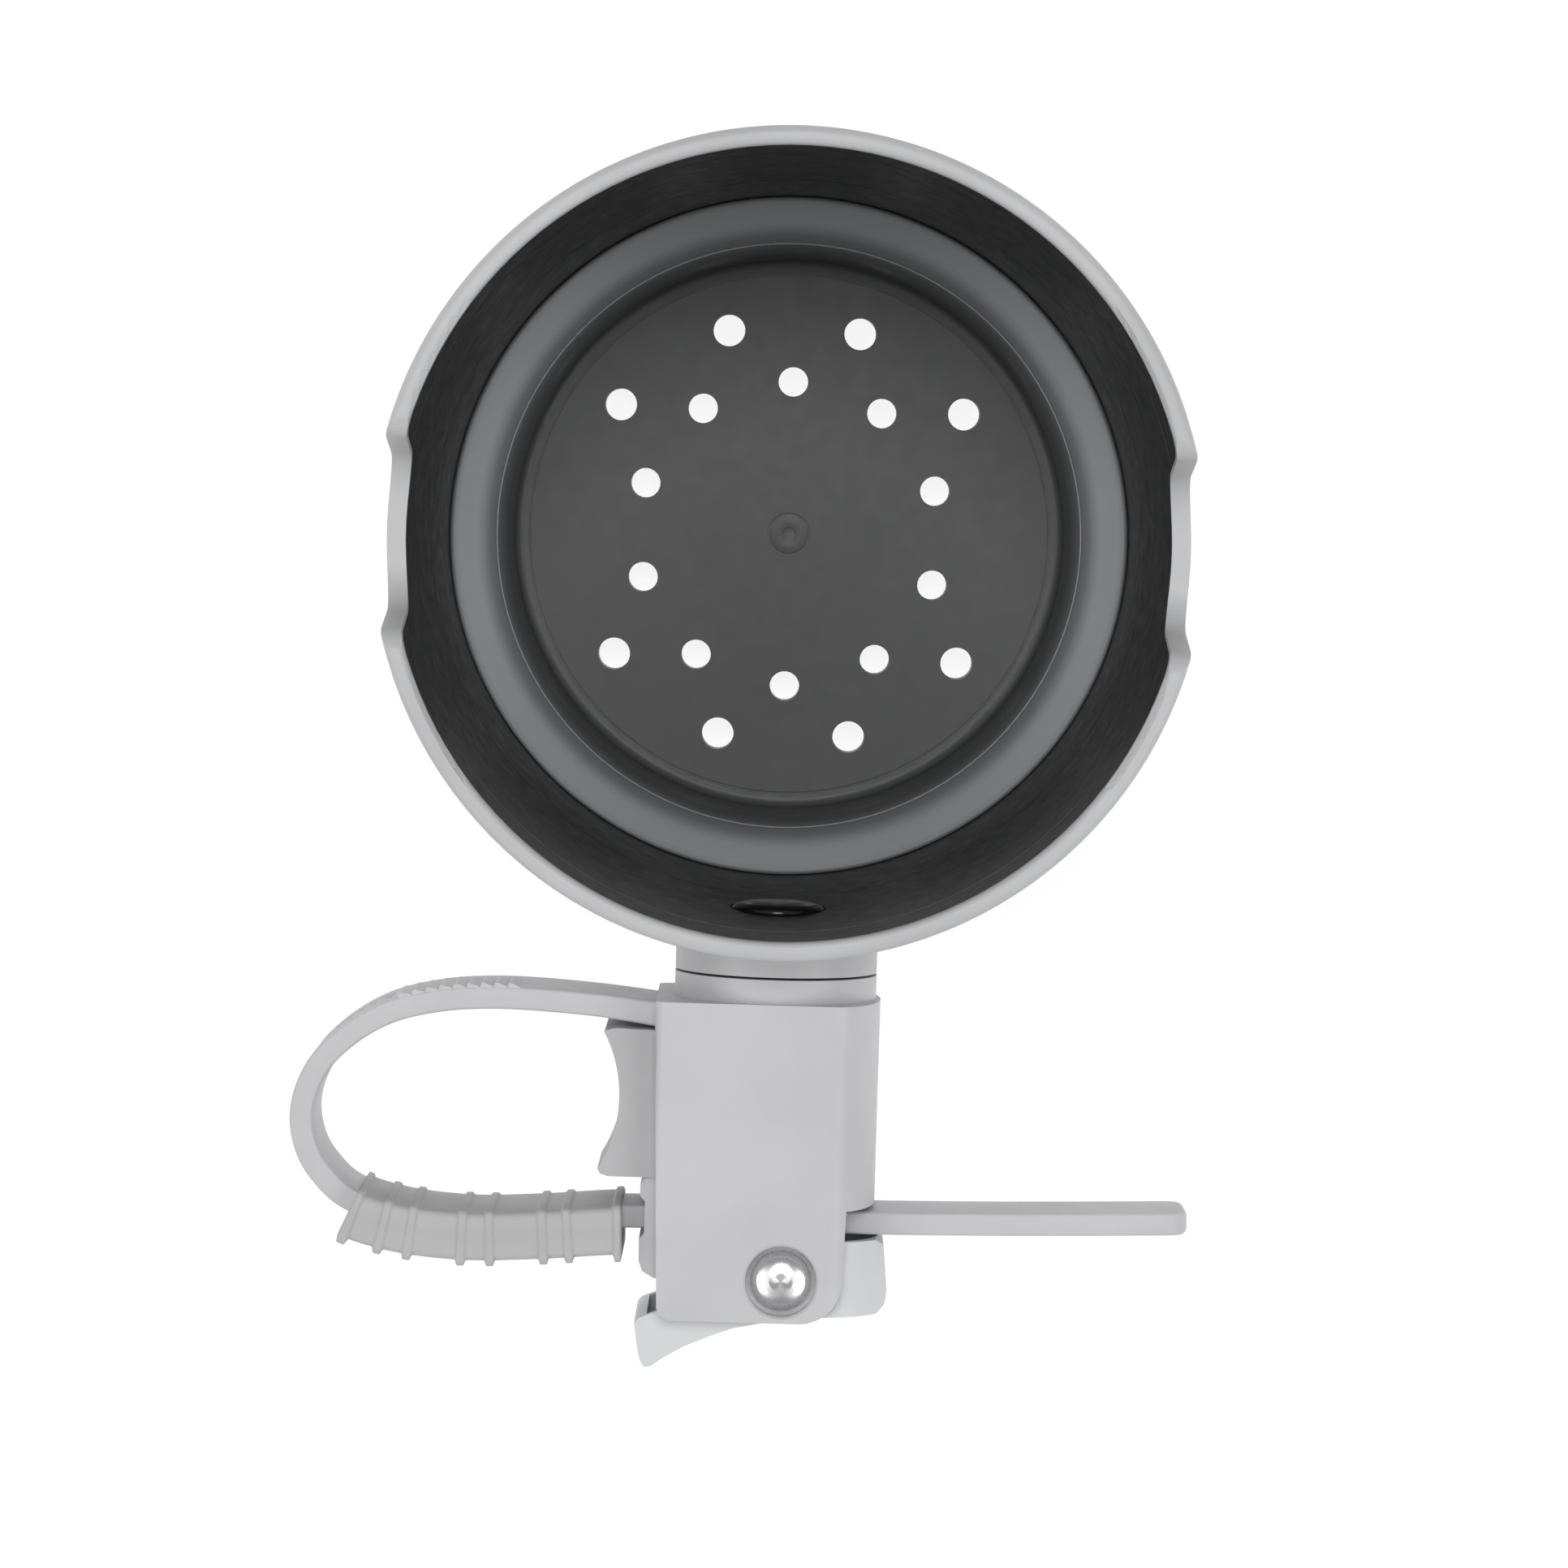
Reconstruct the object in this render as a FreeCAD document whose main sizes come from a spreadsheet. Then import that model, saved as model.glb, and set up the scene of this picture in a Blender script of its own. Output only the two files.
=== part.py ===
import FreeCAD, Part
import Sketcher
import math
import os
from FreeCAD import Vector, Rotation, Placement

# Cup holder on a strap tube clamp.  Millimetres, +Z up, cup axis on Z, clamp towards -Y.

doc = FreeCAD.newDocument("StrapCupHolder")
sheet = doc.addObject("Spreadsheet::Sheet", "Sizes")

val = {}


def cell(alias, value):
    n = len(val) + 1
    sheet.set("A%d" % n, alias)
    sheet.set("B%d" % n, repr(round(float(value), 4)))
    sheet.setAlias("B%d" % n, alias)
    val[alias] = round(float(value), 4)


for alias, value in [
    # cup
    ("cup_height", 85.0), ("rim_outer_rad", 48.5), ("rim_inner_rad", 46.2), ("rim_outer_round", 1.1),
    ("rim_inner_round", 0.85), ("base_rad", 37.7), ("base_wall_rad", 38.0), ("base_top_z", 19.6), ("barrel_hole_rad", 38.1),
    ("shoulder_rad", 44.7), ("shoulder_z", 22.4), ("base_round", 1.6), ("shell_floor", 2.6),
    ("liner_top_z", 84.0), ("liner_wall", 0.9), ("liner_top_rad", 46.14), ("liner_step_rad", 42.6),
    ("liner_step_z", 25.0), ("liner_lower_rad", 35.6), ("liner_lower_z", 22.45), ("liner_foot_rad", 35.2),
    ("liner_floor_top", 5.0), ("notch_floor_z", 69.5), ("notch_half", 8.2), ("notch_top_half", 12.3),
    ("notch_round", 6.5), ("notch_lip_round", 3.5), ("notch_lip_y", 14.445), ("notch_lip_z", 81.5),
    ("drain_inner_pitch", 19.6), ("drain_inner_rad", 1.9), ("drain_outer_pitch", 27.3), ("drain_outer_rad", 2.05),
    # swivel
    ("swivel_z", 57.0), ("neck_rad", 12.15), ("neck_face_y", 51.7), ("boss_face_y", 52.0),
    ("web_y", 48.5), ("counterbore_rad", 5.8), ("bush_rad", 4.0), ("bush_bore_rad", 3.06),
    ("shoulder_screw_rad", 3.0), ("thread_rad", 2.4), ("head_rad", 4.5), ("head_front_y", 45.3),
    ("head_back_y", 47.3), ("screw_tip_y", 61.7), ("nut_front_y", 58.7), ("nut_thick", 3.0),
    ("nut_flats", 8.0), ("race_mid_rad", 8.5), ("race_half", 1.7), ("race_depth", 0.9),
    ("detent_ball_rad", 1.5), ("detent_ball_y", 52.7), ("detent_bore_rad", 1.6), ("detent_bore_y", 57.3),
    ("dimple_rad", 1.4),
    # housing
    ("hsg_top_y", 54.9), ("hsg_bottom_y", 92.9), ("hsg_front_z", 70.0), ("hsg_back_z", 44.0),
    ("hsg_left_x", 14.2), ("hsg_flat_x", 7.0), ("hsg_bulge", 5.7), ("hsg_left_round", 1.5),
    ("ear_thick", 3.0), ("roof_y", 58.5), ("side_end_y", 79.4), ("left_wall_end_y", 88.6),
    ("cav_left_x", 11.2), ("cav_right_x", 9.0), ("pin_x", 1.65), ("pin_y", 87.9),
    ("pin_rad", 2.0), ("pin_head_rad", 3.6), ("pin_recess_rad", 4.25), ("pin_recess_z", 68.0),
    ("throat_x", 15.5), ("throat_z_low", 49.3), ("throat_z_high", 64.7), ("slot_top_y", 79.45),
    ("slot_bottom_y", 83.35), ("slot_half", 6.35),
    # pad
    ("pad_z_low", 48.5), ("pad_z_high", 65.5), ("pad_saddle_rad", 16.5), ("pad_saddle_x", 34.8),
    ("pad_mid_y", 66.95), ("stud_rad", 1.6),
    # strap
    ("strap_thick", 2.75), ("strap_root_thick", 3.3), ("loop_width", 15.0), ("tail_width", 12.0),
    ("tooth_pitch", 1.6), ("tooth_height", 0.35), ("channel_depth", 0.45), ("channel_half", 4.1),
    ("sleeve_width", 19.0), ("sleeve_height", 5.75), ("rib_stand", 0.7), ("rib_thick", 0.75),
    # lever
    ("lev_back_z", 47.6), ("lev_front_z", 66.4), ("lev_flat_x", 8.0), ("lev_bulge", 6.6),
    ("lev_wall", 1.4), ("hub_rad", 3.6), ("hub_bore_rad", 2.06), ("hub_gap_low", 53.1), ("hub_gap_high", 60.9),
    # torsion spring
    ("spring_mean_rad", 2.9), ("spring_wire_rad", 0.4), ("spring_pitch", 0.98), ("spring_turns", 6.5),
]:
    cell(alias, value)
doc.recompute()


def size(v):
    """A number, or the number a sheet cell holds ("-name" is its negative)."""
    if isinstance(v, str):
        return -val[v[1:]] if v.startswith("-") else val[v]
    return float(v)


def expr(v):
    return "-Sizes." + v[1:] if v.startswith("-") else "Sizes." + v


def bind(obj, **props):
    for prop, v in props.items():
        prop = prop.replace("__", ".")
        if isinstance(v, str):
            obj.setExpression(prop, expr(v))
        else:
            target, rest = obj, prop.split(".")
            if len(rest) == 1:
                setattr(obj, prop, v)
            else:
                obj.setExpression(prop, repr(float(v)))
    return obj


PLANES = {
    "XY": Rotation(),
    "XZ": Rotation(Vector(1, 0, 0), 90),
    "YZ": Rotation(0.5, 0.5, 0.5, 0.5),
}


def draw(sk, prefix, pts):
    """Closed outline of straight lines, every corner held by two driven distances."""
    n = len(pts)
    xy = [(size(a), size(b)) for a, b in pts]
    for i in range(n):
        a, b = xy[i], xy[(i + 1) % n]
        sk.addGeometry(Part.LineSegment(Vector(a[0], a[1], 0), Vector(b[0], b[1], 0)), False)
    for i in range(n):
        sk.addConstraint(Sketcher.Constraint("Coincident", i, 2, (i + 1) % n, 1))
    for i in range(n):
        for k, kind, axis in ((0, "DistanceX", -2), (1, "DistanceY", -1)):
            v, num = pts[i][k], xy[i][k]
            if abs(num) < 1e-9:
                sk.addConstraint(Sketcher.Constraint("PointOnObject", i, 1, axis))
                continue
            if not isinstance(v, str):
                alias = "%s_%s%d" % (prefix, "uw"[k], i)
                cell(alias, num)
                v = alias
            c = sk.addConstraint(Sketcher.Constraint(kind, -1, 1, i, 1, num))
            sk.setExpression("Constraints[%d]" % c, expr(v))


def sketch(name, prefix, pts, plane="XY", offset=(0, 0, 0)):
    sk = doc.addObject("Sketcher::SketchObject", name)
    sk.Placement = Placement(Vector(*offset), PLANES[plane])
    draw(sk, prefix, pts)
    return sk


def extrude(name, sk, length, both=False):
    e = doc.addObject("Part::Extrusion", name)
    e.Base = sk
    e.DirMode = "Normal"
    e.Solid = True
    e.Symmetric = both
    bind(e, LengthFwd=length)
    return e


def revolve(name, sk):
    r = doc.addObject("Part::Revolution", name)
    r.Source = sk
    r.Axis = Vector(0, 0, 1)
    r.Base = Vector(0, 0, 0)
    r.Angle = 360
    r.Solid = True
    return r


def cylinder(name, rad, height, base=(0, 0, 0), axis="Z"):
    c = doc.addObject("Part::Cylinder", name)
    rot = {"Z": Rotation(), "-Y": Rotation(Vector(1, 0, 0), 90), "X": Rotation(Vector(0, 1, 0), 90)}[axis]
    c.Placement = Placement(Vector(*[size(b) for b in base]), rot)
    bind(c, Radius=rad, Height=height)
    for k, b in zip("xyz", base):
        if isinstance(b, str):
            c.setExpression("Placement.Base." + k, expr(b))
    return c


def box(name, lo, hi):
    b = doc.addObject("Part::Box", name)
    b.Placement = Placement(Vector(*[size(v) for v in lo]), Rotation())
    for k, prop, a, c in zip("xyz", ("Length", "Width", "Height"), lo, hi):
        ea = expr(a) if isinstance(a, str) else repr(float(a))
        ec = expr(c) if isinstance(c, str) else repr(float(c))
        b.setExpression("Placement.Base." + k, ea)
        b.setExpression(prop, "(%s) - (%s)" % (ec, ea))
    return b


def cut(name, base, tool):
    c = doc.addObject("Part::Cut", name)
    c.Base, c.Tool = base, tool
    return c


def fuse(name, shapes):
    f = doc.addObject("Part::MultiFuse", name)
    f.Shapes = shapes
    f.Refine = True
    return f


def common(name, shapes):
    f = doc.addObject("Part::MultiCommon", name)
    f.Shapes = shapes
    return f


def fillet(name, base, picks):
    """picks: list of (test(edge), cell alias of the radius)."""
    doc.recompute()
    f = doc.addObject("Part::Fillet", name)
    f.Base = base
    edges = []
    for i, e in enumerate(base.Shape.Edges, 1):
        for test, rad in picks:
            if test(e):
                edges.append((i, size(rad), size(rad)))
                break
    f.Edges = edges
    return f


def ring_edge(rad, z):
    def test(e):
        c = e.Curve
        return (isinstance(c, Part.Circle) and abs(c.Radius - size(rad)) < 1e-3
                and abs(c.Center.z - size(z)) < 1e-3 and abs(abs(c.Axis.z) - 1) < 1e-6)
    return test


def line_edge(axis, where, tol=0.05):
    """A straight edge along axis (0, 1, 2) that passes the point `where` of the two other coordinates."""
    def test(e):
        if not isinstance(e.Curve, Part.Line):
            return False
        p, q = e.Vertexes[0].Point, e.Vertexes[-1].Point
        d = q - p
        if abs(d[axis]) < 0.98 * d.Length:
            return False
        mid = (p + q) * 0.5
        rest = [k for k in range(3) if k != axis]
        return all(abs(mid[k] - w) < tol for k, w in zip(rest, where))
    return test


def body_turned(label, prefix, pts, place):
    """PartDesign body turned about its own Z axis; pts are (radius, height)."""
    b = doc.addObject("PartDesign::Body", label)
    b.Label = label
    plane = [f for f in b.Origin.OriginFeatures if f.Role == "XZ_Plane"][0]
    sk = b.newObject("Sketcher::SketchObject", label + "_profile")
    sk.AttachmentSupport = [(plane, "")]
    sk.MapMode = "FlatFace"
    draw(sk, prefix, pts)
    rev = b.newObject("PartDesign::Revolution", label + "_turn")
    rev.Profile = sk
    rev.ReferenceAxis = (sk, ["V_Axis"])
    rev.Angle = 360
    b.Tip = rev
    b.Placement = place
    return b


parts = []


def node(obj, label):
    obj.Label = label
    parts.append(obj)
    return obj


# ---------------------------------------------------------------- cup
barrel = revolve("Barrel", sketch("BarrelSketch", "co", [
    ("barrel_hole_rad", "base_top_z"), ("shoulder_rad", "shoulder_z"), ("rim_outer_rad", "cup_height"),
    ("rim_inner_rad", "cup_height"), (44.78, 60.0), (45.15, 60.0), (43.1, 23.95), ("barrel_hole_rad", 22.13)], "XZ"))
cup_void = revolve("CupVoid", sketch("CupVoidSketch", "cv", [
    (0, 30.0), (43.4, 30.0), (45.15, 60.0), (44.78, 60.0),
    ("rim_inner_rad", "cup_height"), (46.26, 86.0), (0, 86.0)], "XZ"))
cup_soft = fillet("BarrelSoft", barrel, [
    (ring_edge("rim_outer_rad", "cup_height"), "rim_outer_round"),
    (ring_edge("rim_inner_rad", "cup_height"), "rim_inner_round"),
    (ring_edge("shoulder_rad", "shoulder_z"), "base_round")])

neck = cylinder("Neck", "neck_rad", "neck_face_y", (0, 0, "swivel_z"), "-Y")
neck_gone = box("NeckGone", (-20, -40, 40), (20, 1, 75))
neck_short = cut("NeckShort", neck, neck_gone)
shell_joined = fuse("ShellJoined", [cup_soft, neck_short])

# handle notches on both sides
notch_u = extrude("NotchU", sketch("NotchSketch", "no", [
    ("-notch_half", "notch_floor_z"), ("notch_half", "notch_floor_z"),
    ("notch_top_half", 88.0), ("-notch_top_half", 88.0)], "YZ"), 120, True)
notch_round = fillet("NotchRound", notch_u, [
    (line_edge(0, (-val["notch_half"], val["notch_floor_z"])), "notch_round"),
    (line_edge(0, (val["notch_half"], val["notch_floor_z"])), "notch_round")])
lips = []
for sgn, nm in ((1, "A"), (-1, "B")):
    yb = sgn * 10.9
    ye = sgn * val["notch_lip_y"]
    lb = box("LipBox" + nm, (-60, min(yb, ye), 82.26), (60, max(yb, ye), 86.0))
    lc = cylinder("LipRound" + nm, "notch_lip_round", 124, (-62, ye, "notch_lip_z"), "X")
    lips.append(cut("Lip" + nm, lb, lc))
notch_tool = fuse("NotchTool", [notch_round] + lips)
liner_notch_u = extrude("LinerNotchU", sketch("LinerNotchSketch", "ln", [
    (-8.6, 69.1), (8.6, 69.1), (11.35, 81.6), (12.3, 83.2), (15.0, 84.4), (15.0, 88.0), (-15.0, 88.0), (-15.0, 84.4), (-12.3, 83.2), (-11.35, 81.6)],
    "YZ"), 120, True)
liner_notch = fillet("LinerNotch", liner_notch_u, [
    (line_edge(0, (-8.6, 69.1)), "notch_round"), (line_edge(0, (8.6, 69.1)), "notch_round")])

# drain holes
drains = []
for ring, (n, start, pitch, rad, skip) in enumerate((
        (10, 90.0, "drain_inner_pitch", "drain_inner_rad", ()),
        (10, 72.0, "drain_outer_pitch", "drain_outer_rad", (0, 180)))):
    for i in range(n):
        ang = (start + 36.0 * i) % 360.0
        if round(ang) in skip:
            continue
        c = cylinder("Drain%d%d" % (ring, i), rad, 12, (0, 0, -3))
        c.setExpression("Placement.Base.x", "Sizes.%s * cos(%g deg)" % (pitch, ang))
        c.setExpression("Placement.Base.y", "Sizes.%s * sin(%g deg)" % (pitch, ang))
        drains.append(c)
drain_tool = fuse("DrainTool", drains)

# liner
liner_turn = revolve("LinerTurn", sketch("LinerSketch", "li", [
    (43.55, 24.12), (47.04, "liner_top_z"), ("liner_top_rad", "liner_top_z"), (42.65, 25.0), (42.65, 23.79)], "XZ"))
well_turn = revolve("WellTurn", sketch("WellSketch", "we", [
    (0, 0), ("base_rad", 0), ("base_wall_rad", 22.1), ("liner_step_rad", 23.77), ("liner_step_rad", "liner_step_z"),
    ("liner_lower_rad", "liner_lower_z"), ("liner_foot_rad", "liner_floor_top"), (0, "liner_floor_top")], "XZ"))
cell("liner_step_round", 0.5)
cell("liner_lower_round", 5.0)
cell("liner_foot_round", 1.2)
well_soft = fillet("WellSoft", well_turn, [
    (ring_edge("base_rad", 0), "base_round"),
    (ring_edge("liner_step_rad", "liner_step_z"), "liner_step_round"),
    (ring_edge("liner_lower_rad", "liner_lower_z"), "liner_lower_round"),
    (ring_edge("liner_foot_rad", "liner_floor_top"), "liner_foot_round")])
groove_a = revolve("GrooveA", sketch("GrooveASketch", "ga", [(44.0, 75.3), (45.78, 75.3), (45.8, 75.7), (44.0, 75.7)], "XZ"))
groove_b = revolve("GrooveB", sketch("GrooveBSketch", "gb", [(42.0, 44.8), (43.98, 44.8), (44.0, 45.2), (42.0, 45.2)], "XZ"))
groove_c = revolve("GrooveC", sketch("GrooveCSketch", "gc", [(33.3, 4.75), (33.7, 4.75), (33.7, 5.5), (33.3, 5.5)], "XZ"))
gate_ring = revolve("GateRing", sketch("GateRingSketch", "gr", [(2.45, 4.8), (2.75, 4.8), (2.75, 5.5), (2.45, 5.5)], "XZ"))
gate_dot = cylinder("GateDot", 0.85, 1, (0, 0, 4.7))
cap_well = cylinder("CapWell", "counterbore_rad", 12, (0, -38, "swivel_z"), "-Y")
cap_well.setExpression("Height", "Sizes.web_y - 38")
liner_cuts = fuse("LinerCuts", [liner_notch, groove_a, groove_b, cap_well])
liner_blank = cut("LinerBlank", liner_turn, liner_notch)
node(cut("Liner", liner_turn, liner_cuts), "cup_liner")
well_cuts = fuse("WellCuts", [drain_tool, groove_c, gate_ring, gate_dot])
node(cut("Well", well_soft, well_cuts), "cup_well")

# shell: everything round the liner
race_out = cylinder("RaceOut", 10.2, 1.2, (0, 0, "swivel_z"), "-Y")
race_out.setExpression("Radius", "Sizes.race_mid_rad + Sizes.race_half")
race_out.setExpression("Placement.Base.y", "-Sizes.neck_face_y + Sizes.race_depth")
race_in = cylinder("RaceIn", 6.8, 3, (0, 0, "swivel_z"), "-Y")
race_in.setExpression("Radius", "Sizes.race_mid_rad - Sizes.race_half")
race_in.setExpression("Placement.Base.y", "-Sizes.neck_face_y + Sizes.race_depth + 1")
race = cut("Race", race_out, race_in)
dimples = []
for i in range(12):
    s = doc.addObject("Part::Sphere", "Dimple%d" % i)
    bind(s, Radius="dimple_rad")
    s.setExpression("Placement.Base.x", "Sizes.race_mid_rad * cos(%g deg)" % (30 * i))
    s.setExpression("Placement.Base.y", "-Sizes.neck_face_y + Sizes.race_depth - 0.85")
    s.setExpression("Placement.Base.z", "Sizes.swivel_z + Sizes.race_mid_rad * sin(%g deg)" % (30 * i))
    dimples.append(s)
web_bore = cylinder("WebBore", "bush_rad", 30, (0, -30, "swivel_z"), "-Y")
shell_cuts = fuse("ShellCuts", [cup_void, notch_tool, cap_well, web_bore, race] + dimples)
shell_open = cut("ShellOpen", shell_joined, shell_cuts)
node(cut("Shell", shell_open, liner_blank), "cup_shell")

# ---------------------------------------------------------------- swivel hardware, turned about the Y axis
on_swivel = Placement(Vector(0, 0, val["swivel_z"]), Rotation(Vector(1, 0, 0), 90))


def on_axis(b):
    b.setExpression("Placement.Base.z", "Sizes.swivel_z")
    return b


node(on_axis(body_turned("screw_cap", "cap", [
    (0, 43.35), (3.4, 43.45), (4.9, 43.75), (5.7, 44.3), (5.7, 44.95), (4.9, 44.95), (4.9, 44.6), (0, 44.6)],
    on_swivel)), "screw_cap")
screw_blank = on_axis(body_turned("screw_turned", "scr", [
    (0, "head_front_y"), (4.1, "head_front_y"), ("head_rad", 45.7), ("head_rad", "head_back_y"),
    ("shoulder_screw_rad", "head_back_y"), ("shoulder_screw_rad", "boss_face_y"), ("thread_rad", "boss_face_y"),
    ("thread_rad", 61.2), (1.9, "screw_tip_y"), (0, "screw_tip_y")], on_swivel))
key = doc.addObject("Part::Prism", "ScrewKey")
key.Polygon = 6
bind(key, Circumradius=1.75, Height=2.3)
key.Placement = Placement(Vector(0, -44.3, val["swivel_z"]), Rotation(Vector(1, 0, 0), 90))
node(cut("PivotScrew", screw_blank, key), "pivot_screw")
node(on_axis(body_turned("flat_washer", "fw", [
    (3.3, 48.05), (5.5, 48.05), (5.5, "web_y"), (3.3, "web_y")], on_swivel)), "flat_washer")
node(on_axis(body_turned("swivel_bush", "bu", [
    ("bush_bore_rad", "web_y"), ("bush_rad", "web_y"), ("bush_rad", "neck_face_y"), ("bush_bore_rad", "neck_face_y")],
    on_swivel)), "swivel_bush")

# thin dished spring washer under the screw head
node(on_axis(body_turned("spring_washer", "ww", [
    (3.3, 47.3), (3.6, 47.3), (5.2, 47.5), (5.2, 47.72), (4.9, 47.72), (3.3, 47.52)], on_swivel)), "spring_washer")

nut_blank = doc.addObject("Part::Prism", "NutBlank")
nut_blank.Polygon = 6
nut_blank.setExpression("Circumradius", "Sizes.nut_flats / 1.7320508")
bind(nut_blank, Height="nut_thick")
nut_blank.Placement = Placement(Vector(0, -val["nut_front_y"], val["swivel_z"]), Rotation(Vector(1, 0, 0), 90))
nut_blank.setExpression("Placement.Base.y", "-Sizes.nut_front_y")
nut_hole = cylinder("NutHole", "thread_rad", 20, (0, -50, "swivel_z"), "-Y")
node(cut("PivotNut", nut_blank, nut_hole), "pivot_nut")

for sgn, nm in ((-1, "left"), (1, "right")):
    ball = doc.addObject("Part::Sphere", "Ball" + nm)
    bind(ball, Radius="detent_ball_rad")
    ball.setExpression("Placement.Base.x", "%d * Sizes.race_mid_rad" % sgn)
    ball.setExpression("Placement.Base.y", "-Sizes.detent_ball_y")
    ball.setExpression("Placement.Base.z", "Sizes.swivel_z")
    node(ball, "detent_ball_" + nm)

# ---------------------------------------------------------------- housing


def d_bar(name, left, flat, bulge, z_low, z_high, y_near, y_far):
    """Bar along Y with square left corners and a half-ellipse right side, from the sheet's sizes."""
    x0, x1, a = -val[left], val[flat], val[bulge]
    z0, z1, y0, y1 = size(z_low), size(z_high), size(y_near), size(y_far)
    zc, hb = (z0 + z1) / 2, (z1 - z0) / 2
    pts = [Vector(x0, -y0, z0), Vector(x1, -y0, z0)]
    low = Part.LineSegment(pts[0], pts[1]).toShape()
    big, small = (Vector(0, 0, 1), hb), (Vector(1, 0, 0), a)
    el = Part.Ellipse(Vector(x1, -y0, zc + hb), Vector(x1 + a, -y0, zc), Vector(x1, -y0, zc))
    arc = None
    for lo, hi in ((0, math.pi), (math.pi, 2 * math.pi)):
        seg = Part.ArcOfEllipse(el, lo, hi)
        if seg.value((lo + hi) / 2).x > x1:
            arc = seg.toShape()
    top = Part.LineSegment(Vector(x1, -y0, z1), Vector(x0, -y0, z1)).toShape()
    side = Part.LineSegment(Vector(x0, -y0, z1), Vector(x0, -y0, z0)).toShape()
    wire = Part.Wire(Part.__sortEdges__([low, arc, top, side]))
    f = doc.addObject("Part::Feature", name)
    f.Shape = Part.Face(wire).extrude(Vector(0, -(y1 - y0), 0))
    return f


hsg_section = d_bar("HousingSection", "hsg_left_x", "hsg_flat_x", "hsg_bulge", "hsg_back_z", "hsg_front_z", 54.9, 93.5)
hsg_side = fillet("HousingSectionSoft", hsg_section, [
    (line_edge(1, (-val["hsg_left_x"], val["hsg_front_z"])), "hsg_left_round"),
    (line_edge(1, (-val["hsg_left_x"], val["hsg_back_z"])), "hsg_left_round")])
hsg_plan = extrude("HousingPlan", sketch("HousingPlanSketch", "hp", [
    (-14.2, -54.9), (13.5, -54.9), (13.5, -79.4), (9.2, -79.4), (8.8, -92.9), (-13.05, -92.9), (-14.2, -57.0)],
    "XY", (0, 0, 40)), 34)
cell("hsg_corner_a", 5.2)
cell("hsg_corner_b", 1.7)
hsg_plan_soft = fillet("HousingPlanSoft", hsg_plan, [
    (line_edge(2, (8.8, -92.9)), "hsg_corner_a"), (line_edge(2, (-13.05, -92.9)), "hsg_corner_b")])
hsg_block = common("HousingBlock", [hsg_side, hsg_plan_soft])

boss = cylinder("Boss", "neck_rad", 5, (0, "-boss_face_y", "swivel_z"), "-Y")
throat = extrude("Throat", sketch("ThroatSketch", "th", [
    (-15.5, -77.4), (-14.9, -76.6), (-13.0, -76.2), (-11.3, -76.2), (-11.3, -88.6), (-13.6, -88.6), (-15.0, -87.8),
    (-15.45, -86.6), (-15.5, -83.9), (-14.9, -83.3), (-14.9, -79.4), (-15.5, -78.7)], "XY", (0, 0, 49.3)), 15.4)
nut_boss = cylinder("NutBoss", 6.6, 6, (0, -56.5, "swivel_z"), "-Y")
cavity = extrude("Cavity", sketch("CavitySketch", "ca", [
    ("-cav_left_x", "-roof_y"), ("cav_right_x", "-roof_y"), ("cav_right_x", "-side_end_y"), (22, "-side_end_y"),
    (22, -99), (-22, -99), (-22, "-left_wall_end_y"), ("-cav_left_x", "-left_wall_end_y")], "XY", (0, 0, 47)), 20)
hsg_shell = cut("HousingShell", hsg_block, cavity)
cell("ledge_y", 83.9)
ledge = box("SpringLedge", (-11.6, -84.5, 58.6), (-8.2, "-ledge_y", 62.0))
hsg_sum = fuse("HousingSum", [hsg_shell, boss, throat, nut_boss, ledge])

slot = box("StrapSlot", (-20, "-slot_bottom_y", 50.65), (-10, "-slot_top_y", 63.35))
nut_pocket = doc.addObject("Part::Prism", "NutPocket")
nut_pocket.Polygon = 6
nut_pocket.setExpression("Circumradius", "Sizes.nut_flats / 1.7320508")
bind(nut_pocket, Height=8)
nut_pocket.Placement = Placement(Vector(0, -val["nut_front_y"], val["swivel_z"]), Rotation(Vector(1, 0, 0), 90))
nut_pocket.setExpression("Placement.Base.y", "-Sizes.nut_front_y")
thread_bore = cylinder("ThreadBore", 2.5, 20, (0, -50, "swivel_z"), "-Y")
pin_bore = cylinder("PinBore", "pin_rad", 40, ("pin_x", "-pin_y", 40))
pin_recess = cylinder("PinRecess", "pin_recess_rad", 5, ("pin_x", "-pin_y", "pin_recess_z"))
chamfer = doc.addObject("Part::Cone", "PinRecessChamfer")
bind(chamfer, Radius1="pin_recess_rad", Radius2=4.75, Height=0.5)
chamfer.Placement = Placement(Vector(val["pin_x"], -val["pin_y"], 69.75), Rotation())
back_recess = cylinder("BackRecess", 3.3, 1.4, ("pin_x", "-pin_y", 44))
tools = [slot, nut_pocket, thread_bore, pin_bore, pin_recess, chamfer, back_recess]
for sgn, nm in ((-1, "Left"), (1, "Right")):
    c = cylinder("DetentBore" + nm, "detent_bore_rad", 6, (0, "-boss_face_y", "swivel_z"), "-Y")
    c.setExpression("Placement.Base.x", "%d * Sizes.race_mid_rad" % sgn)
    c.setExpression("Height", "Sizes.detent_bore_y - Sizes.boss_face_y")
    c.setExpression("Placement.Base.y", "-Sizes.boss_face_y")
    tools.append(c)
studs = []
for k, y in enumerate((-62.4, -71.6)):
    tools.append(cylinder("StudHole%d" % k, "stud_rad", 8, (-16, y, "swivel_z"), "X"))
    studs.append(cylinder("Stud%d" % k, "stud_rad", 5.2, (-17, y, "swivel_z"), "X"))
hsg_tool = fuse("HousingTools", tools)
housing = node(cut("Housing", hsg_sum, hsg_tool), "clamp_housing")

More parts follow.
